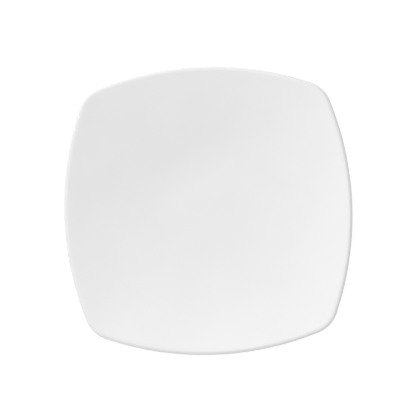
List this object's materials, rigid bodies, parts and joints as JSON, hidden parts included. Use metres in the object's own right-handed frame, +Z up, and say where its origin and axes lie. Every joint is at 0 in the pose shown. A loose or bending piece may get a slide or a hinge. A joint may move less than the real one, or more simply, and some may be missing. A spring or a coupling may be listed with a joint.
{
  "type": "square dinner plate",
  "caption": "Square coupe dinner plate in white glazed porcelain, with bowed sides, rounded corners, a soft rolled lip and a bare foot ring.",
  "frame": {"origin": "on the table, under the middle of the plate", "axes": "+Z up from the table; +X and +Y towards the middles of two neighbouring sides"},
  "size_m": [0.27, 0.27, 0.027],
  "materials": {
    "porcelain_bisque": "bare fired porcelain, matte and finely grained, seen only on the foot ring",
    "white_glaze": "neutral white gloss glaze"
  },
  "bodies": {
    "root": {"porcelain_body": "porcelain_bisque", "face_glaze": "white_glaze", "base_glaze": "white_glaze"}
  },
  "joints": []
}
